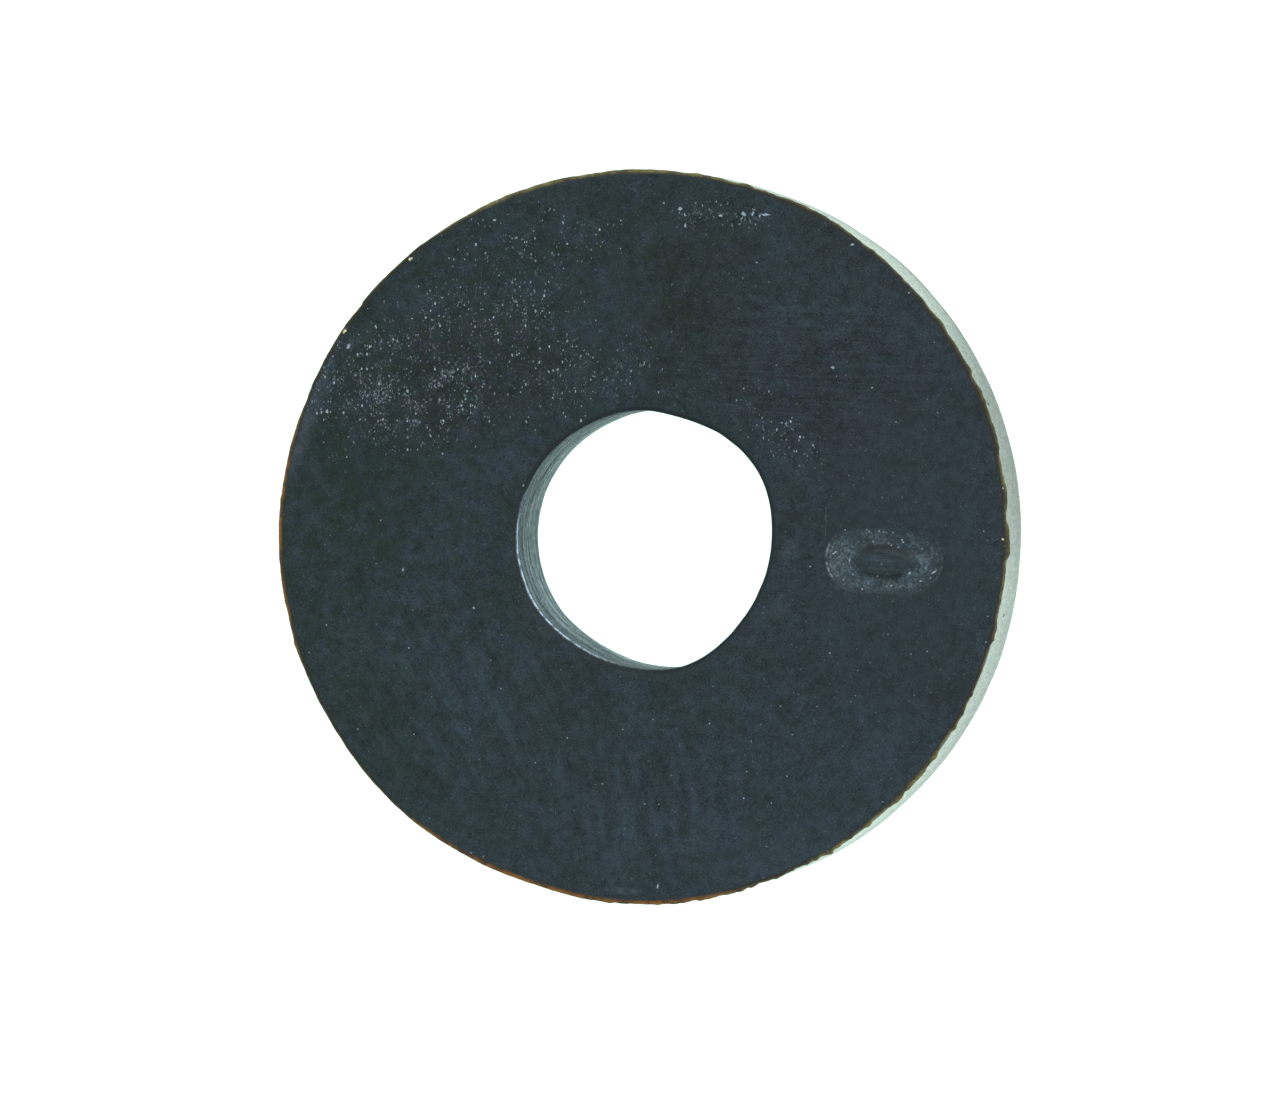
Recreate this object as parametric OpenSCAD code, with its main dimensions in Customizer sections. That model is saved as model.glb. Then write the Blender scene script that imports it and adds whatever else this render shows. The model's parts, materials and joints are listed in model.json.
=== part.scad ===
// Flat rubber washer, moulded in one piece: a thick ring with a plain bore, two
// flat faces, lightly rounded edges and a bare oval mark sunk in its upper face.
// The ring lies on its lower face at z = 0, with its bore along +Z, and the
// middle of the oval mark lies towards +X. All sizes are in millimetres.

/* [Ring] */
// Outer diameter of the ring
outer_d = 13.5; // [12:0.1:20]
// Diameter of the bore that the screw passes through
bore_d = 4.76; // [3:0.02:6]
// Thickness of the ring, from face to face
thickness = 3.2; // [1.6:0.1:6]

/* [Edges] */
// Radius that rounds both outer edges
rim_edge_r = 0.08; // [0.02:0.01:0.3]
// Radius that rounds both edges of the bore
bore_edge_r = 0.1; // [0.02:0.01:0.3]

/* [Oval mark] */
// Distance from the bore's axis to the middle of the mark
mark_r = 4.48; // [4.4:0.02:4.6]
// Turn of the mark's long axis away from X, in degrees
mark_tilt = 4; // [-90:1:90]
// Length of the mark, from end to end
mark_l = 2.15; // [1.4:0.05:2.2]
// Width of the mark, from side to side
mark_w = 1.25; // [0.9:0.05:1.3]
// Length of the flush island inside the mark
island_l = 1; // [0.7:0.05:1.2]
// Width of the flush island inside the mark
island_w = 0.5; // [0.3:0.05:0.65]
// Depth of the groove between the mark's outline and its island
mark_depth = 0.06; // [0.02:0.01:0.15]

/* [Hidden] */
$fn = 96;
outer_r = outer_d / 2;
bore_r = bore_d / 2;
// Radius where the two halves of the ring's section meet
mid_r = (outer_r + bore_r) / 2;
// The groove's cutter ends this far above the upper face
overcut = 0.1;

// One half of the ring's section, from radius from_r to to_r, with the two
// corners at to_r rounded. It works towards the axis and away from it.
module half_section(from_r, to_r, edge_r) {
    side = sign(to_r - from_r);
    corner_r = to_r - side * edge_r;
    translate([min(from_r, corner_r), 0])
        square([abs(corner_r - from_r), thickness]);
    translate([min(from_r, to_r), edge_r])
        square([abs(to_r - from_r), thickness - 2 * edge_r]);
    for (corner_z = [edge_r, thickness - edge_r])
        translate([corner_r, corner_z])
            circle(r = edge_r);
}

// The ring without its mark
module ring() {
    rotate_extrude() {
        half_section(mid_r, outer_r, rim_edge_r);
        half_section(mid_r, bore_r, bore_edge_r);
    }
}

// A flat outline with straight sides and round ends, centred and lying along X
module oval(length, width) {
    end_x = (length - width) / 2;
    square([2 * end_x, width], center = true);
    for (x = [-end_x, end_x])
        translate([x, 0])
            circle(d = width);
}

// The mark's groove, as the solid that is cut out of the upper face
module mark_cutter() {
    translate([mark_r, 0, thickness - mark_depth])
        rotate([0, 0, mark_tilt])
            linear_extrude(height = mark_depth + overcut)
                difference() {
                    oval(mark_l, mark_w);
                    oval(island_l, island_w);
                }
}

module washer() {
    color([0.17, 0.21, 0.22])
        difference() {
            ring();
            mark_cutter();
        }
}

washer();
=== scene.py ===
import json
import math

import bpy
import numpy as np
from mathutils import Matrix, Vector


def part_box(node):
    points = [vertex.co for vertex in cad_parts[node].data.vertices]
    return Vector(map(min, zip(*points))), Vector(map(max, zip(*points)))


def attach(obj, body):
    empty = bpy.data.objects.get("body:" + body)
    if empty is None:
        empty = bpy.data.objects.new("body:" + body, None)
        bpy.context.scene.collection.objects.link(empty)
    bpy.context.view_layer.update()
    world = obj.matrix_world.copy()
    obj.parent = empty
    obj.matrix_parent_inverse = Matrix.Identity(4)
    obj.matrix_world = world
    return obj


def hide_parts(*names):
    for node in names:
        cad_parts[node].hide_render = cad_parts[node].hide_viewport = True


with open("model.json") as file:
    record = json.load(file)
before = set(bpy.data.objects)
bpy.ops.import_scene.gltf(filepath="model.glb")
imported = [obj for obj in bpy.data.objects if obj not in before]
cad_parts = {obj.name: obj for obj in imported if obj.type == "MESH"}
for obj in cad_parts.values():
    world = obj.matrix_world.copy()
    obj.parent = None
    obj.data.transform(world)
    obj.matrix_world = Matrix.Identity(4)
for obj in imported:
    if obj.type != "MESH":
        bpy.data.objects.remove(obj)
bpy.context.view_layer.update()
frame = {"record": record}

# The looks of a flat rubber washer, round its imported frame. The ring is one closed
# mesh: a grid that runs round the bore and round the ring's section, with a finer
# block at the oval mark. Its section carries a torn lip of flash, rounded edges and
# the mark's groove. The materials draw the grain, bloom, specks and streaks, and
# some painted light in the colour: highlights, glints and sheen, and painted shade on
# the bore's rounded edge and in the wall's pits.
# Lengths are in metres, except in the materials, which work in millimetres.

MM = 0.001

# The ring, from the frame
RING_LOW, RING_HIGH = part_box("washer")
MOUNTS = {mount["name"]: mount for mount in frame["record"]["mounts"]}
OUTER_R = (RING_HIGH.x - RING_LOW.x) / 2
BORE_R = MOUNTS["bore"]["dims"]["r_mm"] * MM
THICK = RING_HIGH.z - RING_LOW.z

# The oval mark, with the outline and depth of the solid's. It lies 0.09 mm from the
# solid's, which is on the X axis, 4.48 mm out, and its island is a longer lens.
MARK_MIDDLE = (4.53 * MM, 0.075 * MM)
MARK_TILT = math.radians(4)
MARK_SIZE = (2.15 * MM, 1.25 * MM)
ISLAND_SIZE = (1.30 * MM, 0.56 * MM)
ISLAND_UP = -0.05 * MM
MARK_DEPTH = 0.06 * MM
# Where the groove's sides start and end, inside the mark's outline and outside the
# island's
GROOVE_SIDE = (-0.04 * MM, 0.17 * MM)
ISLAND_SIDE = (-0.12 * MM, 0.10 * MM)
# How far from its middle a painted highlight line of the mark ends, and how far it stays full
HIGHLIGHT_FADE = (0.022 * MM, 0.004 * MM)

# Section of the ring
WALL_INSET = 0.008 * MM
BORE_EDGE = 0.1 * MM
FOOT_EDGE = 0.08 * MM
# How far inside the outer radius the face's own rows end
FACE_INSET = 0.15 * MM
# How far inside the outer radius the rim's shape is followed in full
RIM_BLEND = 0.1 * MM
# The moulded bore lies a little off the ring's middle, towards this side
BORE_SHIFT = (0.055 * MM, -0.04 * MM)
# The wall and the bore both lean a little at the foot, towards these sides
FOOT_SHIFT = (0.008 * MM, -0.030 * MM)
BORE_FOOT_SHIFT = (0.012 * MM, -0.025 * MM)
# The lip of flash, from the face outwards: distance from the outer radius, drop
# from the face, how much of the lip's reach that point takes, and how near it is to
# the lip's thin edge
LIP_SECTION = (
    (-0.105, 0.000, 0.0, 0.0),
    (-0.070, 0.001, 0.1, 0.25),
    (-0.040, 0.003, 0.4, 0.55),
    (-0.015, 0.010, 0.8, 0.85),
    (0.000, 0.026, 1.0, 1.0),
    (-0.002, 0.048, 0.95, 1.0),
    (-0.010, 0.070, 0.6, 0.9),
    (-0.018, 0.100, 0.2, 0.4),
)
# How far below the face the wall starts
LIP_FOOT = 0.15 * MM

# Zones of the section
FACE, LIP, WALL, BACK, BORE, BORE_TOP = range(6)

# The mesh grid
AROUND = 1260
BLOCK_HALF_ANGLE = 14
BLOCK_RADII = (3.28 * MM, 5.68 * MM)
BLOCK_CELLS = 8
FINER_AROUND = 2
FINER_ACROSS = 12

# How far out of round the rim and the bore are: angle from +X in degrees, and how
# far the edge lies outside its true circle in millimetres
RIM_SHAPE = (
    (-84, 0.07), (-74, 0.06), (-64, 0.02), (-54, 0.06), (-34, 0.04), (-14, 0.04), (0, 0.02),
    (16, 0.045), (36, 0.055), (56, 0.065), (66, 0.045), (78, 0.02), (88, 0.035), (100, 0.03),
    (136, 0.02), (166, -0.005), (196, 0.025), (216, 0.0), (236, 0.045), (256, -0.005),
)
BORE_SHAPE = (
    (6, -0.02), (36, 0.075), (56, 0.03), (78, -0.055), (90, -0.03), (100, 0.02), (111, -0.02),
    (130, -0.025), (155, -0.01), (186, -0.015), (215, -0.015), (225, -0.02), (236, -0.055),
    (250, -0.055), (266, 0.0), (277, 0.035), (286, 0.09), (306, 0.055), (322, -0.03), (340, -0.05),
)
# The torn lip where it shows best: angle from +X in degrees, and how far the lip
# reaches past the rim in millimetres. Elsewhere it is drawn at random.
TORN_EDGE = (
    (-52, 0.0), (-46, 0.0), (-36, 0.012), (-31, 0.05), (-28, -0.01), (-25, 0.03), (-17, 0.0),
    (-11, 0.0), (-10, 0.06), (-6, 0.0), (2.5, 0.03), (3.5, 0.075), (7.5, 0.055), (9, 0.0),
    (13.5, 0.055), (15, 0.02), (20, 0.045), (30, 0.055), (32, 0.01), (33, 0.055), (36, 0.03),
    (42, 0.04), (44, 0.01), (52, 0.0), (60, 0.005), (68, 0.035), (76, 0.015), (85, 0.0),
)
# The rest of the lip: the steps between its points in degrees, and their reach in
# millimetres
LIP_STEP, LIP_REACH = (2, 8), (0.0, 0.015)
# The nicks that follow some of those points: how often, how soon, and their reach
NICK_CHANCE, NICK_STEP, NICK_REACH = 0.4, (0.4, 0.8), (-0.012, 0.028)
# The drawn points stop this many degrees before the torn lip starts
LIP_GAP = 4
# The lip's fine raggedness: knots round the ring, and how far it goes
LIP_RAGGED = ((190, 0.014), (430, 0.009), (900, 0.004))
# Share of the raggedness on the side away from the mark
FAR_RAGGED = 0.35

# Faint waves of the surface: how far they go in millimetres, knots round the ring, and
# how far they turn with height, or on the face with radius, in radians a metre
WALL_WAVES = ((0.006, 46, 0), (0.004, 90, 400))
BORE_WAVES = ((0.004, 60, 300),)
FACE_WAVES = ((0.003, 40, 90),)


# ---------------------------------------------------------------- mesh

def arc(centre, radius, start, end, count):
    """Points on an arc of the section, from start to end in degrees."""
    angles = np.radians(np.linspace(start, end, count))
    return [(centre[0] + radius * math.cos(a), centre[1] + radius * math.sin(a)) for a in angles]


def section():
    """The ring's section as a closed loop of rows: radius, height, share of the lip's
    reach, nearness to the lip's thin edge, and zone. The loop runs out over the face,
    down the wall, in over the back and up the bore."""
    rows = []
    face_start = BORE_R + BORE_EDGE
    face_end = OUTER_R - FACE_INSET
    radii = np.concatenate([
        np.linspace(face_start, BLOCK_RADII[0], 5, endpoint=False),
        np.linspace(BLOCK_RADII[0], BLOCK_RADII[1], BLOCK_CELLS, endpoint=False),
        np.linspace(BLOCK_RADII[1], face_end, 6),
    ])
    rows += [(r, THICK, 0.0, 0.0, FACE) for r in radii]
    for out, drop, share, thinness in LIP_SECTION:
        rows.append((OUTER_R + out * MM, THICK - drop * MM, share, thinness, LIP))
    wall_r = OUTER_R - WALL_INSET
    wall_heights = np.linspace(THICK - LIP_FOOT, FOOT_EDGE, 7, endpoint=False)
    rows += [(wall_r, z, 0.0, 0.0, WALL) for z in wall_heights]
    foot = arc((wall_r - FOOT_EDGE, FOOT_EDGE), FOOT_EDGE, 0, -90, 4)
    rows += [(r, z, 0.0, 0.0, WALL) for r, z in foot]
    back_radii = np.linspace(wall_r - FOOT_EDGE, face_start, 5)[1:-1]
    rows += [(r, 0.0, 0.0, 0.0, BACK) for r in back_radii]
    bore_foot = arc((face_start, BORE_EDGE), BORE_EDGE, 270, 180, 4)
    rows += [(r, z, 0.0, 0.0, BORE) for r, z in bore_foot]
    bore_heights = np.linspace(BORE_EDGE, THICK - BORE_EDGE, 7)[1:-1]
    rows += [(BORE_R, z, 0.0, 0.0, BORE) for z in bore_heights]
    top_edge = arc((face_start, THICK - BORE_EDGE), BORE_EDGE, 180, 90, 7)[:-1]
    rows += [(r, z, 0.0, 0.0, BORE_TOP) for r, z in top_edge]
    return rows


def profile(theta, knots, spread=5):
    """A value at each angle, between knots of angle and value, with the corners softened
    over that many degrees each way."""
    angles, values = np.array(sorted(knots)).T
    turns = (-spread, -spread / 2, 0, spread / 2, spread)
    lines = [np.interp(np.degrees(theta) + turn, angles, values, period=360) for turn in turns]
    return np.mean(lines, axis=0)


def wander(theta, knots, rng):
    """A smooth random line round the ring, between -1 and 1, with that many knots."""
    heights = rng.uniform(-1, 1, knots)
    place = (theta / (2 * math.pi) % 1) * knots
    before = np.floor(place).astype(int) % knots
    share = place - np.floor(place)
    share = share * share * (3 - 2 * share)
    return heights[before] * (1 - share) + heights[(before + 1) % knots] * share


def torn_lip(theta, rng):
    """How far the lip reaches past the outer radius at each angle. Its raggedness shows
    on the side of the mark, and most of all at the lower right."""
    first, angle = TORN_EDGE[0][0], TORN_EDGE[-1][0]
    knots = list(TORN_EDGE)
    while angle < first + 360 - LIP_GAP:
        angle += rng.uniform(*LIP_STEP)
        knots.append((angle, rng.uniform(*LIP_REACH)))
        if rng.random() < NICK_CHANCE:
            angle += rng.uniform(*NICK_STEP)
            knots.append((angle, rng.uniform(*NICK_REACH)))
    angles, reaches = np.array(sorted(knots)).T
    reach = np.interp(np.degrees(theta), angles, reaches, period=360)
    ragged = sum(amount * wander(theta, count, rng) for count, amount in LIP_RAGGED)
    lower_right = smooth(-np.sin(theta) * np.cos(theta), 0.2, 0.5)
    shows = np.where(np.cos(theta) > 0, 1.0 + lower_right, FAR_RAGGED)
    return (reach + ragged * shows) * MM


def waves(theta, along, kinds, rng):
    """How far faint waves move the surface at each point."""
    return sum(MM * far * wander(theta + turn * along, knots, rng) for far, knots, turn in kinds)


def oval_distance(u, v, size):
    """Distance from an oval with straight sides and round ends, less than 0 inside."""
    length, width = size
    past_end = np.maximum(np.abs(u) - (length - width) / 2, 0)
    return np.hypot(past_end, v) - width / 2


def lens_distance(u, v, size):
    """Distance from a lens, the overlap of two equal circles, less than 0 inside."""
    length, width = size
    radius = (length ** 2 + width ** 2) / (4 * width)
    return np.hypot(u, np.abs(v) + radius - width / 2) - radius


def smooth(value, low, high):
    """0 at low, 1 at high, and a smooth step between them."""
    share = np.clip((value - low) / (high - low), 0, 1)
    return share * share * (3 - 2 * share)


def mark(x, y):
    """The mark at each point: how deep its groove is, how near the point is to the
    island's outline, and how near to the painted highlight lines at the mark's ends."""
    x, y = x - MARK_MIDDLE[0], y - MARK_MIDDLE[1]
    u = math.cos(MARK_TILT) * x + math.sin(MARK_TILT) * y
    v = math.cos(MARK_TILT) * y - math.sin(MARK_TILT) * x
    edge = oval_distance(u, v, MARK_SIZE)
    island_edge = lens_distance(u, v - ISLAND_UP, ISLAND_SIZE)
    groove = smooth(-edge, *GROOVE_SIDE) * smooth(island_edge, *ISLAND_SIDE)
    outline = smooth(np.abs(island_edge), 0.08 * MM, 0.01 * MM)
    outline *= smooth(np.abs(u), 0.46 * MM, 0.25 * MM)
    left_end = smooth(u, -0.75 * MM, -0.95 * MM)
    left_end *= smooth(v, 0.38 * MM, 0.25 * MM) * smooth(v, -0.45 * MM, -0.3 * MM)
    # Painted highlights: thin bright lines just inside the mark's outline, at its ends
    lines = smooth(np.abs(edge + 0.005 * MM), *HIGHLIGHT_FADE)
    lines = np.maximum(lines, 0.5 * smooth(np.abs(edge + 0.075 * MM), *HIGHLIGHT_FADE))
    right_end = 0.3 * smooth(u, 0.9 * MM, 1.02 * MM)
    return groove, outline, lines * np.maximum(left_end, right_end)


class Grid:
    """The vertices of the ring as they are made: each one's angle and section row."""

    def __init__(self):
        self.theta, self.rows = [], []

    def add(self, theta, row):
        self.theta.append(theta)
        self.rows.append(row)
        return len(self.theta) - 1


def blend_rows(a, b, share):
    """A row between two rows of the face."""
    return tuple(p + (q - p) * share for p, q in zip(a[:-1], b[:-1])) + (a[-1],)


def fan(face):
    """The face as triangles from its first vertex, which is a corner away from the
    side with the extra vertices, so that no triangle is flat."""
    return [[face[0], face[n], face[n + 1]] for n in range(1, len(face) - 1)]


def cell_faces(coarse, fine, block, i, j):
    """The faces of one cell of the coarse grid, which point outwards: one face, none
    where the finer block lies, or beside it triangles that take its extra vertices, so
    that the mesh stays closed. i counts round the ring and j along the section."""
    (first, last), (inner, outer) = block
    after, up = (i + 1) % len(coarse), (j + 1) % len(coarse[0])
    near, near_up, far_up, far = coarse[i][j], coarse[i][up], coarse[after][up], coarse[after][j]
    in_angle, in_radius = first <= i < last, inner <= j < outer
    a, b = (i - first) * FINER_AROUND, (j - inner) * FINER_ACROSS
    if in_angle and in_radius:
        return []
    if in_angle and up == inner:
        extra = [fine[a + k][0] for k in range(1, FINER_AROUND)]
        return fan([near, near_up, *extra, far_up, far])
    if in_angle and j == outer:
        extra = [fine[a + k][-1] for k in range(FINER_AROUND - 1, 0, -1)]
        return fan([near_up, far_up, far, *extra, near])
    if in_radius and after == first:
        extra = [fine[0][b + k] for k in range(FINER_ACROSS - 1, 0, -1)]
        return fan([near, near_up, far_up, *extra, far])
    if in_radius and i == last:
        extra = [fine[-1][b + k] for k in range(1, FINER_ACROSS)]
        return fan([far, near, *extra, near_up, far_up])
    return [[near, near_up, far_up, far]]


def ring_faces():
    """The grid's vertices and faces."""
    rows = section()
    step = 2 * math.pi / AROUND
    grid = Grid()
    coarse = [[grid.add(-math.pi + i * step, row) for row in rows] for i in range(AROUND)]
    half = round(math.radians(BLOCK_HALF_ANGLE) / step)
    inner = next(j for j, row in enumerate(rows) if abs(row[0] - BLOCK_RADII[0]) < 1e-9)
    block = (AROUND // 2 - half, AROUND // 2 + half), (inner, inner + BLOCK_CELLS)
    fine = fine_block(grid, coarse, rows, *block)
    faces = []
    for i in range(AROUND):
        for j, row in enumerate(rows):
            faces += [(face, row[-1]) for face in cell_faces(coarse, fine, block, i, j)]
    for a in range(len(fine) - 1):
        for b in range(len(fine[0]) - 1):
            quad = [fine[a][b], fine[a][b + 1], fine[a + 1][b + 1], fine[a + 1][b]]
            faces.append((quad, FACE))
    return grid, faces


def fine_block(grid, coarse, rows, span, across):
    """The finer block's vertices, which share the coarse grid's own at its corners."""
    (first, last), (inner, outer) = span, across
    step = 2 * math.pi / AROUND
    fine = []
    for a in range((last - first) * FINER_AROUND + 1):
        i, i_part = divmod(a, FINER_AROUND)
        line = []
        for b in range((outer - inner) * FINER_ACROSS + 1):
            j, j_part = divmod(b, FINER_ACROSS)
            j += inner
            if i_part == 0 and j_part == 0:
                line.append(coarse[first + i][j])
                continue
            row = rows[j]
            if j_part:
                row = blend_rows(rows[j], rows[j + 1], j_part / FINER_ACROSS)
            line.append(grid.add(-math.pi + (first + i + i_part / FINER_AROUND) * step, row))
        fine.append(line)
    return fine


def shaped(grid):
    """Each vertex's place, and its values for the materials."""
    rng = np.random.default_rng(17)
    theta = np.array(grid.theta)
    radius, height, share, lip_edge, zone = np.array(grid.rows).T
    on_face, on_wall = zone == FACE, zone == WALL
    on_bore = (zone == BORE) | (zone == BORE_TOP)
    near_rim = smooth(radius, BLOCK_RADII[1], OUTER_R - RIM_BLEND)
    near_bore = smooth(radius, BLOCK_RADII[0], BORE_R + BORE_EDGE)
    moved = near_rim * profile(theta, RIM_SHAPE) * MM
    moved += near_bore * profile(theta, BORE_SHAPE, spread=8) * MM
    moved += share * torn_lip(theta, rng)
    moved += on_wall * waves(theta, height, WALL_WAVES, rng)
    moved += on_bore * waves(theta, height, BORE_WAVES, rng)
    x, y = (radius + moved) * np.cos(theta), (radius + moved) * np.sin(theta)
    low = 1 - height / THICK
    x += near_bore * (BORE_SHIFT[0] + BORE_FOOT_SHIFT[0] * low) + near_rim * FOOT_SHIFT[0] * low
    y += near_bore * (BORE_SHIFT[1] + BORE_FOOT_SHIFT[1] * low) + near_rim * FOOT_SHIFT[1] * low
    groove, outline, lines = (value * on_face for value in mark(x, y))
    # A painted highlight runs along the lower part of the bore's rounded top edge
    rim = (zone == BORE_TOP) * smooth(height, THICK - 0.25 * BORE_EDGE, THICK - 0.65 * BORE_EDGE)
    height = height - MARK_DEPTH * groove
    height = height + on_face * waves(theta, radius, FACE_WAVES, rng)
    values = {
        "lip_edge": lip_edge,
        "groove": groove,
        "outline": outline,
        "lines": lines,
        "bore_rim_highlight": rim,
        "bore_roll": 1.0 * (zone == BORE_TOP),
    }
    return np.stack([x, y, height], 1), values


def closed_ring(materials):
    """The washer's one piece. The coarse grid's vertices under the finer block belong to
    no face, and are left out."""
    grid, faces = ring_faces()
    places, values = shaped(grid)
    mesh = bpy.data.meshes.new("rubber_ring")
    used = sorted({v for face, _ in faces for v in face})
    new_index = {v: n for n, v in enumerate(used)}
    mesh.from_pydata(places[used].tolist(), [], [[new_index[v] for v in face] for face, _ in faces])
    for name, value in values.items():
        mesh.attributes.new(name, "FLOAT", "POINT").data.foreach_set("value", value[used])
    slot_of = {FACE: 0, BACK: 0, LIP: 0, BORE_TOP: 0, WALL: 1, BORE: 2}
    mesh.polygons.foreach_set("material_index", [slot_of[zone] for _, zone in faces])
    mesh.polygons.foreach_set("use_smooth", [True] * len(faces))
    for material in materials:
        mesh.materials.append(material)
    mesh.update()
    ring = bpy.data.objects.new("rubber_ring", mesh)
    bpy.context.scene.collection.objects.link(ring)
    return ring


# ---------------------------------------------------------------- materials

class Graph:
    """Builds one node tree, a node at a time."""

    def __init__(self, tree):
        tree.nodes.clear()
        self.tree = tree

    def node(self, kind, inputs=None, **settings):
        made = self.tree.nodes.new("ShaderNode" + kind)
        for name, value in settings.items():
            setattr(made, name, value)
        for socket, value in (inputs or {}).items():
            self.feed(made.inputs[socket], value)
        return made

    def feed(self, socket, value):
        if isinstance(value, bpy.types.NodeSocket):
            self.tree.links.new(value, socket)
        else:
            socket.default_value = value

    def math(self, operation, a, b=0.0):
        return self.node("Math", {0: a, 1: b}, operation=operation).outputs[0]

    def times(self, first, *others):
        for other in others:
            first = self.math("MULTIPLY", first, other)
        return first

    def total(self, first, *others):
        for other in others:
            first = self.math("ADD", first, other)
        return first

    def most(self, first, *others):
        for other in others:
            first = self.math("MAXIMUM", first, other)
        return first

    def step(self, value, low, high, to_low=0.0, to_high=1.0):
        """A smooth step from to_low, at low, to to_high, at high."""
        inputs = {"Value": value, 1: low, 2: high, 3: to_low, 4: to_high}
        return self.node("MapRange", inputs, interpolation_type="SMOOTHSTEP").outputs[0]

    def ramp(self, value, low, high, to_low=0.0, to_high=1.0):
        """A straight ramp from to_low, at low, to to_high, at high."""
        inputs = {"Value": value, 1: low, 2: high, 3: to_low, 4: to_high}
        return self.node("MapRange", inputs).outputs[0]

    def brighter(self, colour, factor):
        """The colour times a number that varies over the surface."""
        return self.node("VectorMath", {0: colour, "Scale": factor}, operation="SCALE").outputs[0]

    def mix(self, share, a, b):
        """Colour a where share is 0, colour b where it is 1."""
        return self.node("Mix", {0: share, 6: a, 7: b}, data_type="RGBA").outputs[2]

    def millimetres(self):
        """The point on the piece, in millimetres in the frame."""
        place = self.node("TexCoord").outputs["Object"]
        return self.node("VectorMath", {0: place, "Scale": 1 / MM}, operation="SCALE").outputs[0]

    def local(self, point, centre=(0, 0), turn=0, size=(1, 1), depth=1):
        """The point in a flat frame at centre, turned by turn degrees, where 1 is size."""
        inputs = {
            "Vector": point,
            "Location": (*centre, 0),
            "Rotation": (0, 0, math.radians(turn)),
            "Scale": (*size, depth),
        }
        return self.node("Mapping", inputs, vector_type="TEXTURE").outputs[0]

    def noise(self, point, size, seed, detail=2.0, roughness=0.5):
        inputs = {"Vector": point, "W": seed, "Scale": 1 / size, "Detail": detail, "Roughness": roughness}
        return self.node("TexNoise", inputs, noise_dimensions="4D").outputs[0]

    def streaks(self, point, turn, length, width, seed):
        """Soft streaks that run at turn degrees from +X."""
        along = self.local(point, turn=turn, size=(length, width))
        return self.noise(along, 1.0, seed, detail=2.0, roughness=0.6)

    def oval_patch(self, point, centre, turn, size, edge):
        """1 in the middle of an oval patch, falling to 0 from that share of its size."""
        place = self.local(point, centre, turn, size, depth=1000)
        distance = self.node("VectorMath", {0: place}, operation="LENGTH").outputs["Value"]
        return self.step(distance, 1.0, edge)

    def ragged(self, point, size, amount):
        """The point moved about, so that an outline drawn with it comes out ragged."""
        wobble = self.node("TexNoise", {"Vector": point, "Scale": 1 / size, "Detail": 1.0}).outputs["Color"]
        inputs = {0: wobble, 1: (amount, amount, amount), 2: (-amount / 2, -amount / 2, -amount / 2)}
        shift = self.node("VectorMath", inputs, operation="MULTIPLY_ADD").outputs[0]
        return self.node("VectorMath", {0: point, 1: shift}, operation="ADD").outputs[0]

    def pit(self, point, centre, size):
        """1 in the middle of one pit, falling to 0 at its edge."""
        inputs = {"Vector": point, "Location": centre, "Scale": size}
        place = self.node("Mapping", inputs, vector_type="TEXTURE").outputs[0]
        distance = self.node("VectorMath", {0: place}, operation="LENGTH").outputs["Value"]
        return self.step(distance, 1.0, 0.6)

    def along(self, point, direction):
        """How far the point lies along the direction, times the direction's length."""
        inputs = {0: point, 1: direction}
        return self.node("VectorMath", inputs, operation="DOT_PRODUCT").outputs["Value"]

    def specks(self, point, cell, size, share, seed, flat=True):
        """Small irregular dots: at most one in each cell, in that share of the cells.
        Most are faint, and a few are bright."""
        place = self.node("VectorMath", {0: point, 1: (seed, seed, 0)}, operation="ADD").outputs[0]
        place = self.ragged(place, 1.2 * size, 1.6 * size)
        inputs = {"Vector": place, "Scale": 1 / cell}
        dots = self.node("TexVoronoi", inputs, voronoi_dimensions="2D" if flat else "3D")
        picks = self.node("SeparateColor", {0: dots.outputs["Color"]})
        chosen = self.math("GREATER_THAN", self.total(picks.outputs[0], share), 1.0)
        near = self.step(dots.outputs["Distance"], size / cell, 0.4 * size / cell)
        strength = self.ramp(self.math("POWER", picks.outputs[1], 3.0), 0.0, 1.0, 0.08, 1.0)
        return self.times(near, chosen, strength)

    def flakes(self, point, size, density, seed):
        """Irregular flakes that cover more of the surface where density is nearer 1."""
        cloud = self.noise(point, size, seed, detail=2.0, roughness=0.6)
        return self.step(self.total(cloud, self.times(density, 0.15)), 0.69, 0.77)

    def attribute(self, name):
        return self.node("Attribute", attribute_name=name).outputs["Fac"]

    def bump(self, height, distance):
        return self.node("Bump", {"Height": height, "Distance": distance}).outputs[0]

    def finish(self, **sockets):
        shader = self.node("BsdfPrincipled")
        for name, value in sockets.items():
            self.feed(shader.inputs[name.replace("_", " ")], value)
        self.node("OutputMaterial", {"Surface": shader.outputs[0]})


def graph_for(name):
    material = bpy.data.materials.new(name)
    material.use_nodes = True
    return material, Graph(material.node_tree)


# Colours of the rubber, as linear light
FACE_GREEN = (0.0038, 0.0155, 0.0090, 1)
FACE_BLUE = (0.0139, 0.0256, 0.0364, 1)
FACE_MAUVE = (0.0180, 0.0190, 0.0310, 1)
FACE_VIOLET = (0.0150, 0.0195, 0.0340, 1)
# A painted highlight on the bore's rounded edge, and painted shade on that edge
BORE_RIM_HIGHLIGHT = (0.62, 0.82, 1.00, 1)
ROLL_SHADE = (0.004, 0.009, 0.014, 1)
# Pale bloom, also used for a painted sheen at the rim
BLOOM_AND_SHEEN = (0.044, 0.060, 0.076, 1)
# Pale dust, also used for painted glints
DUST_AND_GLINT = (0.48, 0.59, 0.68, 1)
CREAM = (0.80, 0.72, 0.45, 1)
LIP_DARK = (0.014, 0.0105, 0.003, 1)
LIP_OLIVE = (0.190, 0.160, 0.055, 1)
LIP_ORANGE = (0.270, 0.105, 0.010, 1)
GROOVE_PALE = (0.074, 0.111, 0.130, 1)
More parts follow.
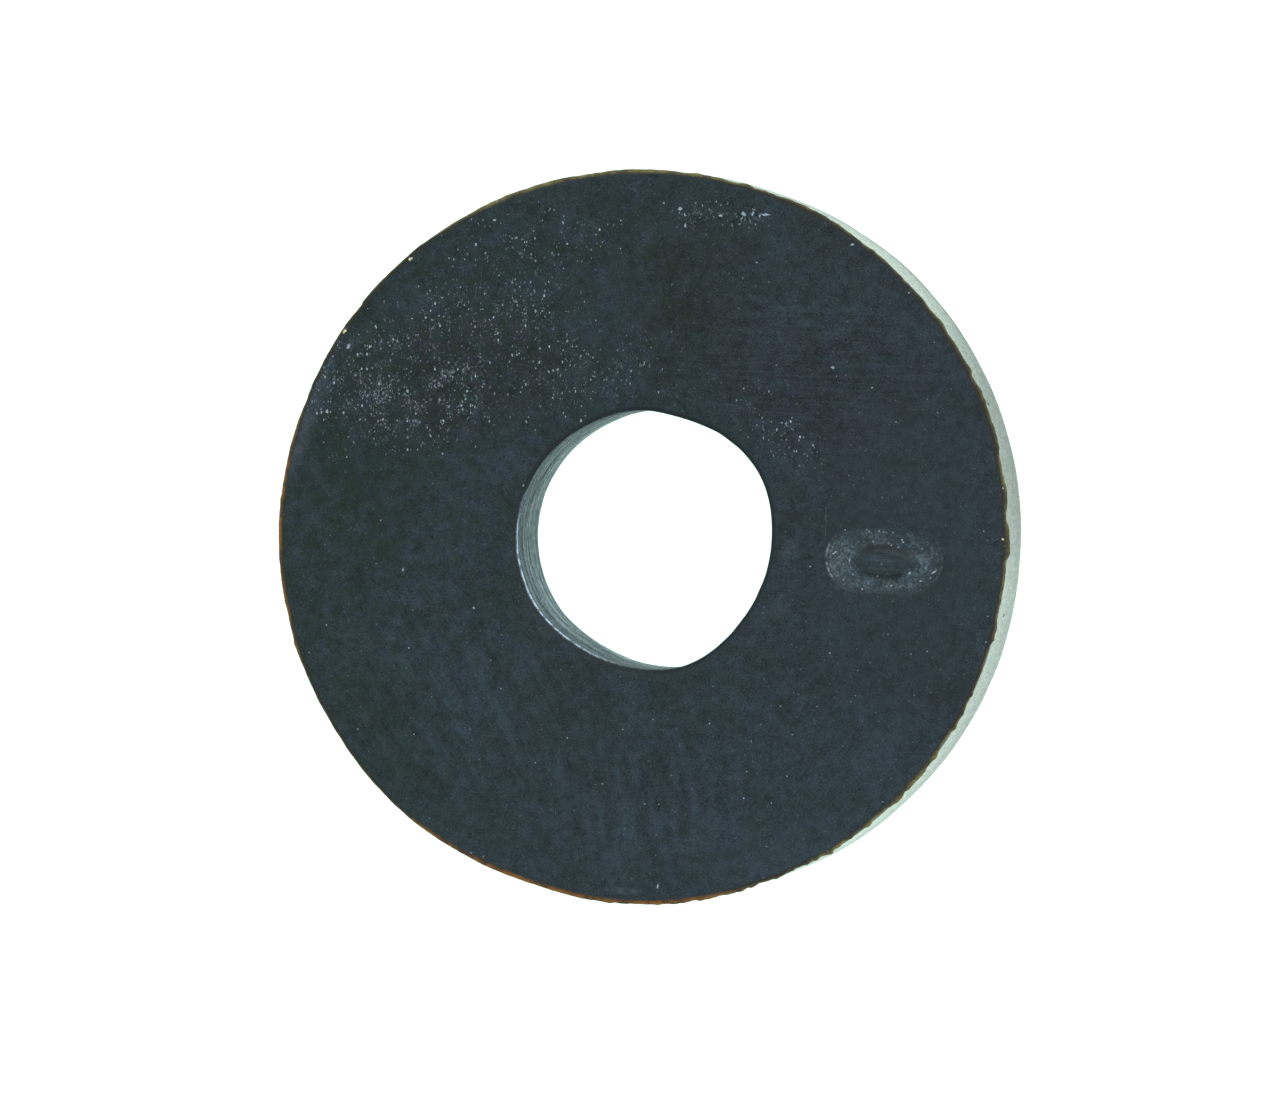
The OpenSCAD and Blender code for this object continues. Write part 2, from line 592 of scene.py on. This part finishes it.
# A painted highlight line in the mark
GROOVE_HIGHLIGHT = (0.220, 0.270, 0.290, 1)
ISLAND_LINE = (0.003, 0.007, 0.007, 1)
WALL_DARK = (0.021, 0.024, 0.021, 1)
WALL_PALE = (0.040, 0.048, 0.042, 1)
WALL_TOP = (0.070, 0.068, 0.050, 1)
# A yellowish painted sheen on two stretches of the wall
WALL_SALLOW_SHEEN = (0.085, 0.075, 0.045, 1)
# Painted shade in the wall's pits
PIT_SHADE = (0.002, 0.002, 0.002, 1)
BORE_DARK = (0.018, 0.040, 0.052, 1)
BORE_PALE = (0.078, 0.136, 0.173, 1)
BORE_UPPER = (0.085, 0.180, 0.235, 1)

# What is added everywhere to the balance of green and blue
HUE_LEVEL = 0.012
# Soft patches of the face: place in millimetres, turn in degrees, half length and
# half width, then how much the patch adds to the tone, or to the balance of green
# and blue
TONE_PATCHES = (
    (-0.10, -0.45, 0, 2.95, 2.95, -0.030),
    (0.5, 4.3, 90, 2.4, 1.4, -0.042),
    (-3.6, 2.4, 18, 3.0, 1.6, -0.050),
    (3.7, 3.0, 0, 2.4, 1.8, -0.028),
    (3.3, 0.5, 90, 2.3, 0.9, -0.040),
    (1.8, 2.7, -40, 1.3, 0.7, -0.030),
    (-2.8, 1.5, 60, 1.2, 0.9, 0.040),
    (3.5, -2.0, 0, 1.8, 1.1, -0.030),
    (5.8, -1.7, 80, 1.3, 0.8, -0.035),
    (2.8, -5.5, 10, 1.5, 0.9, 0.045),
    (-2.5, -2.6, -50, 1.2, 0.9, 0.030),
    (-3.0, -3.0, -50, 2.3, 1.3, 0.010),
    (1.2, -5.6, 0, 2.8, 1.1, 0.032),
    (4.4, -4.3, 45, 1.9, 0.9, 0.044),
    (5.0, 1.6, 90, 3.0, 1.6, -0.022),
)
HUE_PATCHES = (
    (0.4, 4.2, 90, 2.4, 1.3, -0.14),
    (-5.4, 0.2, 90, 2.4, 1.3, -0.09),
    (-2.8, 1.5, 60, 1.3, 1.0, 0.14),
    (5.8, -1.7, 80, 1.3, 0.8, -0.10),
    (-3.6, 2.4, 18, 3.2, 1.8, -0.15),
    (-4.6, -3.9, -50, 2.1, 0.6, -0.12),
    (-0.10, -0.45, 0, 3.1, 3.1, -0.12),
    (-3.0, -3.0, -50, 2.3, 1.3, 0.08),
    (0.9, -5.0, 0, 2.2, 1.2, 0.03),
    (3.6, -5.0, 35, 2.4, 1.1, -0.07),
    (4.2, 4.0, -45, 1.6, 1.0, 0.08),
)
# The larger pale flecks, torn bits painted as glints: place, turn, length and width
GLINT_FLECKS = (
    (-0.24, 6.17, 80, 0.05, 0.04), (0.07, 6.10, 40, 0.10, 0.08), (0.17, 6.00, 120, 0.07, 0.04),
    (0.20, 5.80, 95, 0.10, 0.05), (0.83, 6.05, 20, 0.08, 0.06), (1.25, 6.13, 150, 0.12, 0.08),
    (1.42, 6.15, 70, 0.10, 0.06), (1.66, 6.16, 5, 0.22, 0.05), (3.20, 3.49, 0, 0.09, 0.06),
    (3.32, 5.78, 10, 0.08, 0.05), (-6.08, 1.66, 100, 0.10, 0.06), (-5.81, 2.90, 75, 0.14, 0.07),
    (-5.34, 3.32, 120, 0.08, 0.05), (-2.28, 0.70, 70, 0.06, 0.05), (-3.35, 5.52, 10, 0.08, 0.05),
    (1.00, -6.41, 90, 0.12, 0.05), (-4.35, -1.10, 70, 0.08, 0.04), (-2.96, -1.66, 80, 0.06, 0.05),
)
# Cream flecks on the lip: as above
LIP_FLECKS = (
    (-4.83, 4.64, 44, 0.10, 0.07), (-5.91, 3.17, 62, 0.12, 0.06), (6.68, 0.68, 0, 0.05, 0.05),
)
# The larger glints in the mark, from its middle: as above
MARK_GLINTS = (
    (-0.35, 0.53, 0, 0.04, 0.03), (-0.23, 0.31, 90, 0.06, 0.03), (0.12, 0.26, 60, 0.06, 0.03),
    (0.31, 0.37, 20, 0.05, 0.03), (0.93, -0.20, 35, 0.13, 0.05), (0.48, -0.24, 90, 0.07, 0.06),
    (-0.64, -0.04, 85, 0.15, 0.03), (-0.93, 0.08, 40, 0.12, 0.03),
)


def face_material():
    material, graph = graph_for("moulded_face")
    point = graph.millimetres()
    clouds = graph.noise(point, 0.8, 3.0, detail=4.0, roughness=0.7)
    mottle = graph.noise(point, 0.17, 5.0, detail=4.0, roughness=0.65)
    grain = graph.noise(point, 0.034, 7.0, detail=2.0, roughness=0.6)
    swept = swept_streaks(graph, point)
    tone = face_tone(graph, point, clouds, mottle, grain, swept)
    colour = graph.brighter(face_hue(graph, point, clouds), tone)
    # Bloom, and a painted sheen along the rim
    colour = graph.mix(face_bloom_and_sheen(graph, point), colour, BLOOM_AND_SHEEN)
    colour = mark_colour(graph, point, colour)
    colour = lip_colour(graph, point, colour)
    # Dust, and the larger flecks painted as glints
    dust = graph.most(dusty_specks(graph, point), graph.times(fleck_mask(graph, point, GLINT_FLECKS), 0.65))
    colour = graph.mix(dust, colour, DUST_AND_GLINT)
    colour = graph.mix(fleck_mask(graph, point, LIP_FLECKS), colour, CREAM)
    colour = bore_edge_colour(graph, point, colour)
    height = graph.total(graph.times(mottle, 0.5), graph.times(grain, 0.4), graph.times(swept, 0.8))
    normal = graph.bump(height, 0.010 * MM)
    in_mark = graph.most(graph.step(graph.attribute("groove"), 0.0, 0.3), graph.attribute("outline"))
    matt = graph.most(in_mark, graph.attribute("lip_edge"), graph.attribute("bore_roll"))
    roughness = graph.total(graph.step(mottle, 0.3, 0.7, 0.46, 0.60), graph.times(matt, 0.24))
    graph.finish(Base_Color=colour, Roughness=roughness, Normal=normal)
    return material


def face_tone(graph, point, clouds, mottle, grain, swept):
    """How bright the face is, about 1 on average, and more even at its calm right side."""
    tone = graph.total(
        graph.times(mottle, 0.38),
        graph.times(grain, 0.84),
        graph.times(clouds, 0.18),
        graph.times(swept, 0.45),
        graph.along(point, (-0.0022, -0.0034, 0)),
        soft_patches(graph, point, TONE_PATCHES),
    )
    factor = graph.ramp(tone, 0.50, 0.90, 0.12, 1.88)
    calm = graph.times(graph.oval_patch(point, (4.9, 0.4), 90, (4.8, 2.2), edge=0.4), 0.40)
    return graph.total(factor, graph.times(calm, graph.math("SUBTRACT", 1.0, factor)))


def bore_edge_colour(graph, point, colour):
    """The rounded edge of the bore over the face's colour: painted shade, with a painted
    highlight as a broken line along the near side."""
    beads = graph.step(graph.noise(point, 0.09, 29.0, detail=2.0), 0.38, 0.58, 0.30, 1.0)
    near_side = graph.oval_patch(point, (-1.9, -1.4), -55, (3.4, 1.4), edge=0.2)
    # Painted shade on the bore's rounded edge
    colour = graph.mix(graph.times(graph.attribute("bore_roll"), 0.6), colour, ROLL_SHADE)
    # Painted highlight along the edge's near side
    return graph.mix(graph.times(graph.attribute("bore_rim_highlight"), beads, near_side), colour, BORE_RIM_HIGHLIGHT)


def soft_patches(graph, point, patches):
    """The sum of the soft patches' amounts."""
    return graph.total(*[
        graph.times(graph.oval_patch(point, (x, y), turn, (half_length, half_width), edge=0.3), amount)
        for x, y, turn, half_length, half_width, amount in patches
    ])


def face_hue(graph, point, clouds):
    """The face's colour before its tone: greener or bluer in uneven clouds, and mauve
    in wisps at the upper left and the upper right."""
    wisps = graph.noise(point, 0.32, 4.0, detail=3.0, roughness=0.6)
    varied = graph.oval_patch(point, (-3.4, 1.8), 50, (6.8, 5.0), edge=0.6)
    cloud = graph.noise(point, 0.26, 8.0, detail=3.0, roughness=0.6)
    blotches = graph.times(graph.math("SUBTRACT", cloud, 0.5), varied)
    blue = graph.total(
        graph.times(clouds, 0.5),
        graph.times(wisps, 0.8),
        graph.times(blotches, 1.4),
        graph.along(point, (0.022, -0.002, 0)),
        soft_patches(graph, point, HUE_PATCHES),
        HUE_LEVEL,
    )
    colour = graph.mix(graph.ramp(blue, 0.28, 0.81), FACE_GREEN, FACE_BLUE)
    upper_left = graph.oval_patch(point, (-3.9, 2.6), 20, (2.8, 1.6), edge=0.4)
    upper_right = graph.oval_patch(point, (2.6, 3.0), -40, (2.4, 1.4), edge=0.4)
    mauve = graph.step(graph.noise(point, 0.24, 6.0, detail=3.0, roughness=0.6), 0.47, 0.60)
    colour = graph.mix(graph.times(upper_right, mauve, 0.7), colour, FACE_VIOLET)
    return graph.mix(graph.times(upper_left, mauve, 0.62), colour, FACE_MAUVE)


def swept_streaks(graph, point):
    """Faint streaks, each kind in its own part of the face: steep ones below, and fine
    level ones at the upper right. The value is about 0 on average."""
    found = 0.0
    for centre, turn, size, length, width, seed, strength in (
        ((-2.9, -3.4), -54, (3.4, 2.8), 1.3, 0.20, 61.0, 1.2),
        ((0.3, -4.9), -74, (2.8, 1.9), 1.1, 0.18, 67.0, 1.25),
        ((2.6, 3.4), 4, (3.4, 2.0), 1.2, 0.06, 71.0, 0.9),
    ):
        lines = graph.math("SUBTRACT", graph.streaks(point, turn, length, width, seed), 0.5)
        place = graph.oval_patch(point, centre, 0, size, edge=0.35)
        found = graph.total(graph.times(lines, place, strength), found)
    return found


def face_bloom_and_sheen(graph, point):
    """Soft pale bloom, and painted sheen: sheen in two places along the left rim, and
    bloom in one more place along the rim and three by the bore.
    """
    cloud = graph.step(graph.noise(point, 0.22, 73.0, detail=4.0, roughness=0.7), 0.38, 0.62, 0.15, 1.0)
    # Painted sheen where the rounded rim catches the light: a band and a spot
    rim = graph.oval_patch(point, (-6.42, 1.5), 77, (1.9, 0.22), edge=0.2)
    spot = graph.oval_patch(point, (-5.80, 2.92), 65, (0.22, 0.12), edge=0.1)
    by_bore = graph.times(graph.oval_patch(point, (2.75, 0.05), 60, (0.35, 0.2), edge=0.1), 0.5)
    below = graph.times(graph.oval_patch(point, (2.75, -0.95), 70, (0.5, 0.22), edge=0.1), 0.5)
    above = graph.times(graph.oval_patch(point, (2.75, 1.75), 40, (0.55, 0.3), edge=0.1), 0.35)
    crumbs = graph.oval_patch(point, (0.35, -6.56), 3, (0.45, 0.09), edge=0.3)
    return graph.times(graph.most(rim, spot, by_bore, below, above, crumbs), cloud)


def mark_colour(graph, point, colour):
    """The mark over the face's colour: its groove is paler and grainy, most of all at
    the ends, its island has a dark outline, painted highlight lines and glints lie at
    its ends, and one faint scratch runs beside it."""
    middle = [along / MM for along in MARK_MIDDLE]
    place = graph.local(point, middle, math.degrees(MARK_TILT))
    grain = graph.step(graph.noise(point, 0.040, 5.0, detail=3.0, roughness=0.7), 0.40, 0.64, 0.12, 1.0)
    broad = graph.step(graph.noise(point, 0.17, 11.0, detail=3.0, roughness=0.6), 0.40, 0.60, 0.25, 1.15)
    left = graph.oval_patch(place, (-0.80, -0.05), 0, (0.65, 0.75), edge=0.1)
    right = graph.oval_patch(place, (0.64, -0.14), 0, (0.50, 0.60), edge=0.1)
    below = graph.times(graph.oval_patch(place, (0.0, -0.45), 0, (1.2, 0.35), edge=0.2), 0.75)
    left_shown = graph.times(left, graph.ramp(broad, 0.25, 1.15, 0.70, 1.05))
    shown = graph.most(left_shown, graph.times(broad, graph.most(right, below, 0.48)))
    share = graph.times(graph.attribute("groove"), grain, shown, 1.85)
    island = graph.oval_patch(place, (0.0, ISLAND_UP / MM), 0, (0.58, 0.24), edge=0.3)
    level_streaks = graph.step(graph.streaks(place, 0, 0.45, 0.055, 15.0), 0.40, 0.62)
    share = graph.most(share, graph.times(island, level_streaks, 0.30))
    colour = graph.mix(share, colour, GROOVE_PALE)
    colour = graph.mix(graph.times(graph.attribute("outline"), 0.70), colour, ISLAND_LINE)
    broken = graph.step(graph.noise(point, 0.07, 9.0, detail=3.0), 0.40, 0.60, 0.0, 1.0)
    # Painted highlight lines at the mark's ends
    colour = graph.mix(graph.times(graph.attribute("lines"), broken), colour, GROOVE_HIGHLIGHT)
    scratch = graph.oval_patch(place, (-1.11, 0.72), 91, (0.55, 0.015), edge=0.3)
    colour = graph.mix(graph.times(scratch, broken, 0.6), colour, GROOVE_PALE)
    # Painted glints in the groove, most at its ends, and the larger ones
    ends = graph.times(graph.attribute("groove"), graph.most(left, right, 0.35), 0.5)
    glints = graph.most(graph.specks(place, 0.09, 0.024, ends, 47.0), fleck_mask(graph, place, MARK_GLINTS))
    return graph.mix(graph.times(glints, 0.7), colour, DUST_AND_GLINT)


def lip_colour(graph, point, colour):
    """The lip of flash over the face's colour. It is dark, and its thin edge is olive
    at the top and the lower right, faintly so at the right, and orange at the left and
    the bottom."""
    near = graph.attribute("lip_edge")
    uneven = graph.noise(point, 0.30, 83.0, detail=4.0, roughness=0.7)
    above = graph.oval_patch(point, (-2.0, 6.9), 8, (4.2, 2.6), edge=0.4)
    left = graph.oval_patch(point, (-6.9, -0.9), 0, (1.6, 3.2), edge=0.5)
    below = graph.oval_patch(point, (-0.8, -6.9), -4, (4.8, 2.4), edge=0.5)
    right = graph.times(graph.oval_patch(point, (6.9, 0.6), 0, (1.5, 2.2), edge=0.5), 0.4)
    lower_right = graph.times(graph.oval_patch(point, (5.0, -4.6), 45, (3.0, 1.2), edge=0.4), 0.75)
    orange = graph.most(left, below)
    shown = graph.most(graph.times(left, 0.75), below, above, right, lower_right)
    start = graph.ramp(shown, 0.0, 1.0, 0.62, 0.12)
    edge = graph.ramp(graph.math("SUBTRACT", near, start), 0.0, 0.55)
    patchy = graph.step(uneven, 0.40, 0.58, 0.25, 1.0)
    colour = graph.mix(graph.times(graph.step(near, 0.0, 0.5), 0.85), colour, LIP_DARK)
    hue = graph.mix(orange, LIP_OLIVE, LIP_ORANGE)
    return graph.mix(graph.times(edge, patchy), colour, hue)


def fleck_mask(graph, point, flecks):
    """The larger pale flecks, each with a ragged outline; those on the face and in the
    mark are painted glints.
    """
    place = graph.ragged(point, 0.04, 0.05)
    patches = [
        graph.oval_patch(place, (x, y), turn, (length / 2, width / 2), edge=0.4)
        for x, y, turn, length, width in flecks
    ]
    return graph.most(*patches)


def dusty_specks(graph, point):
    """Pale dust, thick in one part of the face, with a few smaller drifts and sparse
    specks elsewhere."""
    thick = graph.oval_patch(point, (-4.6, 2.3), 12, (2.4, 1.6), edge=0.3)
    steep = graph.times(graph.oval_patch(point, (-3.3, 3.6), 15, (2.3, 1.4), edge=0.3), 0.75)
    tail = graph.times(graph.oval_patch(point, (-1.5, 2.9), 10, (2.4, 1.2), edge=0.2), 0.50)
    above = graph.times(graph.oval_patch(point, (-2.6, 5.2), 8, (2.2, 1.0), edge=0.3), 0.34)
    top = graph.times(graph.oval_patch(point, (0.75, 6.05), 3, (1.4, 0.35), edge=0.3), 0.6)
    by_bore = graph.times(graph.oval_patch(point, (2.45, 2.15), -40, (1.5, 0.6), edge=0.3), 0.45)
    clumps = graph.step(graph.noise(point, 0.34, 21.0, detail=3.0, roughness=0.65), 0.37, 0.63, 0.18, 0.95)
    density = graph.times(graph.most(thick, steep, tail, above, top, by_bore), clumps)
    place = graph.local(point, turn=6, size=(1.0, 1.6))
    tight = graph.step(graph.noise(place, 0.11, 25.0, detail=1.0), 0.42, 0.58, 0.25, 1.0)
    fine = graph.times(graph.specks(place, 0.043, 0.0145, graph.times(density, tight), 31.0), 0.62)
    medium = graph.times(graph.specks(place, 0.085, 0.021, graph.times(density, tight, 0.9), 37.0), 0.85)
    pale = graph.times(graph.flakes(place, 0.042, density, 37.0), 0.17)
    bright = graph.times(graph.flakes(place, 0.034, graph.times(density, tight, 1.1), 53.0), 0.42)
    faint = graph.times(graph.flakes(point, 0.055, graph.times(clumps, 0.42), 59.0), 0.08)
    drifts = graph.step(graph.noise(point, 1.1, 45.0, detail=2.0), 0.44, 0.64, 0.03, 0.22)
    sparse = graph.times(graph.specks(point, 0.26, 0.019, drifts, 41.0), 0.70)
    return graph.most(fine, medium, pale, bright, faint, sparse)


def wall_material():
    material, graph = graph_for("trimmed_wall")
    point = graph.millimetres()
    height = graph.node("SeparateXYZ", {0: point}).outputs["Z"]
    patches = graph.noise(point, 0.6, 13.0, detail=4.0, roughness=0.6)
    drawn_out = graph.local(point, size=(0.07, 0.07), depth=0.5)
    drag = graph.noise(drawn_out, 1.0, 17.0, detail=3.0, roughness=0.65)
    tone = graph.total(graph.times(patches, 0.55), graph.times(drag, 0.45))
    # Painted sheen, yellowish, on two stretches of the wall: the upper right and the lower right
    bright = graph.oval_patch(point, (2.9, 6.1), -26, (3.6, 2.0), edge=0.0)
    sallow_sheen = graph.oval_patch(point, (4.0, -5.5), 36, (4.2, 2.4), edge=0.0)
    pits = wall_pits(graph, point)
    colour = graph.mix(graph.step(tone, 0.38, 0.62), WALL_DARK, WALL_PALE)
    colour = graph.mix(graph.step(height, 2.4, 3.05), colour, WALL_TOP)
    colour = graph.mix(graph.times(graph.most(bright, sallow_sheen), 0.4), colour, WALL_SALLOW_SHEEN)
    # Painted shade in the pits
    colour = graph.mix(pits, colour, PIT_SHADE)
    relief = graph.math("SUBTRACT", graph.total(graph.times(patches, 0.4), graph.times(drag, 0.6)), pits)
    normal = graph.bump(relief, 0.005 * MM)
    roughness = graph.total(
        wall_roughness(graph, point, height, drag),
        graph.times(bright, -0.03),
        graph.times(sallow_sheen, -0.06),
        graph.times(pits, 0.4),
    )
    graph.finish(Base_Color=colour, Roughness=roughness, Specular_IOR_Level=0.6, Normal=normal)
    return material


def wall_pits(graph, point):
    """Small pits in the wall, painted dark as shade: scattered ones, and two long ones."""
    return graph.most(
        graph.specks(graph.local(point, depth=4), 0.30, 0.035, 0.08, 43.0, flat=False),
        graph.pit(point, (6.72, -0.76, 1.9), (0.04, 0.04, 0.20)),
        graph.pit(point, (6.02, 3.10, 2.0), (0.05, 0.05, 0.17)),
    )


def wall_roughness(graph, point, height, drag):
    """The wall's roughness: less towards the top, more where it is dull."""
    dull = graph.oval_patch(point, (6.2, 2.5), -68, (3.3, 1.6), edge=0.2)
    foot_side = graph.oval_patch(point, (4.1, 5.3), -38, (3.0, 1.4), edge=0.3)
    foot = graph.times(graph.step(height, 0.45, 0.10), foot_side)
    return graph.total(
        graph.ramp(height, 0.2, 3.0, 0.31, 0.22),
        graph.times(graph.math("SUBTRACT", 0.5, drag), 0.30),
        graph.times(dull, 0.10),
        graph.times(foot, 0.30),
    )


def bore_material():
    material, graph = graph_for("cored_bore")
    point = graph.millimetres()
    height = graph.node("SeparateXYZ", {0: point}).outputs["Z"]
    flattened = graph.local(point, size=(1.3, 1.3), depth=0.22)
    rings = graph.noise(flattened, 1.0, 19.0, detail=4.0, roughness=0.6)
    drawn_out = graph.local(point, size=(0.09, 0.09), depth=0.5)
    drag = graph.noise(drawn_out, 1.0, 27.0, detail=4.0, roughness=0.7)
    grain = graph.noise(point, 0.07, 23.0, detail=2.0)
    tone = graph.total(graph.times(rings, 0.56), graph.times(drag, 0.12), graph.times(grain, 0.32))
    colour = graph.mix(graph.step(tone, 0.41, 0.59), BORE_DARK, BORE_PALE)
    colour = graph.brighter(colour, graph.ramp(height, 0.3, 2.9, 1.35, 0.75))
    upper = graph.oval_patch(point, (-1.6, 1.9), 40, (1.9, 1.2), edge=0.2)
    colour = graph.mix(graph.times(upper, 0.40), colour, BORE_UPPER)
    relief = graph.total(graph.times(rings, 0.7), graph.times(drag, 0.4), graph.times(grain, 0.3))
    normal = graph.bump(relief, 0.012 * MM)
    dullness = graph.total(graph.times(height, 0.03), graph.math("SUBTRACT", 0.6, tone))
    roughness = graph.total(graph.ramp(dullness, 0.0, 0.24, 0.34, 0.88), graph.times(upper, -0.05))
    graph.finish(Base_Color=colour, Roughness=roughness, Normal=normal)
    return material


# ---------------------------------------------------------------- stage

def pale_floor():
    """A plain pale table that glows: it shows white through the bore, and the ring's
    wall reflects it."""
    material, graph = graph_for("pale_table")
    graph.finish(
        Base_Color=(0.12, 0.12, 0.12, 1),
        Roughness=0.9,
        Emission_Color=(0.80, 1.0, 0.90, 1),
        Emission_Strength=1.27,
    )
    half = 0.6
    mesh = bpy.data.meshes.new("table_top")
    corners = [(-half, -half, 0), (half, -half, 0), (half, half, 0), (-half, half, 0)]
    mesh.from_pydata(corners, [], [(0, 1, 2, 3)])
    mesh.materials.append(material)
    floor = bpy.data.objects.new("table_top", mesh)
    floor.location.z = RING_LOW.z - 0.01 * MM
    bpy.context.scene.collection.objects.link(floor)


def studio_world():
    """Soft light from all round: bright at the horizon and dimmer overhead."""
    world = bpy.data.worlds.new("studio")
    bpy.context.scene.world = world
    world.use_nodes = True
    graph = Graph(world.node_tree)
    direction = graph.node("SeparateXYZ", {0: graph.node("TexCoord").outputs["Generated"]})
    overhead = graph.step(direction.outputs["Z"], 0.25, 0.95)
    colour = graph.mix(overhead, (0.96, 1.0, 0.99, 1), (0.24, 0.33, 0.37, 1))
    background = graph.node("Background", {"Color": colour, "Strength": 0.9})
    graph.node("OutputWorld", {"Surface": background.outputs[0]})


def soft_lamp(name, azimuth, elevation, distance, size, watts, colour):
    """A square soft light that faces the ring from that side."""
    lamp = bpy.data.lights.new(name, "AREA")
    lamp.shape = "SQUARE"
    lamp.size = size
    lamp.energy = watts
    lamp.color = colour
    holder = bpy.data.objects.new(name, lamp)
    towards = Vector((
        math.cos(math.radians(elevation)) * math.cos(math.radians(azimuth)),
        math.cos(math.radians(elevation)) * math.sin(math.radians(azimuth)),
        math.sin(math.radians(elevation)),
    ))
    holder.location = towards * distance
    holder.rotation_mode = "QUATERNION"
    holder.rotation_quaternion = towards.to_track_quat("Z", "Y")
    bpy.context.scene.collection.objects.link(holder)


# The camera looks down almost along the bore. The oval mark lies a little below the
# picture's level line, so the picture is turned from the frame's +X.
PICTURE_TURN = math.radians(6.3)
CAMERA_AZIMUTH = math.radians(15.8)
CAMERA_TILT = math.radians(6.73)
CAMERA_DISTANCE = 260 * MM
PICTURE_WIDTH = 23.6 * MM
SENSOR = 36.0
# Where the face's middle lies in the picture, from the picture's own middle
FACE_RIGHT, FACE_UP = 0.06 * MM, 0.29 * MM


def camera():
    """The camera at the photograph's angle, with its own roll."""
    face_middle = Vector((0, 0, RING_HIGH.z))
    back = Vector((
        math.sin(CAMERA_TILT) * math.cos(CAMERA_AZIMUTH),
        math.sin(CAMERA_TILT) * math.sin(CAMERA_AZIMUTH),
        math.cos(CAMERA_TILT),
    ))
    level = Vector((math.cos(PICTURE_TURN), math.sin(PICTURE_TURN), 0))
    right = (level - back * level.dot(back)).normalized()
    up = back.cross(right)
    data = bpy.data.cameras.new("camera")
    data.sensor_width = SENSOR
    data.lens = SENSOR * CAMERA_DISTANCE / PICTURE_WIDTH
    data.clip_start = 0.01
    data.clip_end = 2.0
    holder = bpy.data.objects.new("camera", data)
    place = face_middle + back * CAMERA_DISTANCE - right * FACE_RIGHT - up * FACE_UP
    axes = Matrix((right, up, back)).transposed().to_4x4()
    holder.matrix_world = Matrix.Translation(place) @ axes
    bpy.context.scene.collection.objects.link(holder)
    bpy.context.scene.camera = holder


# ---------------------------------------------------------------- scene

camera()
studio_world()
pale_floor()
soft_lamp("key", azimuth=50, elevation=40, distance=0.35, size=0.22, watts=0.75, colour=(1.0, 0.99, 0.96))
soft_lamp("fill", azimuth=200, elevation=35, distance=0.4, size=0.25, watts=0.2, colour=(0.94, 0.97, 1.0))
bpy.context.scene.view_settings.view_transform = "Standard"

ring = closed_ring([face_material(), wall_material(), bore_material()])
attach(ring, "root")
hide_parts("washer")
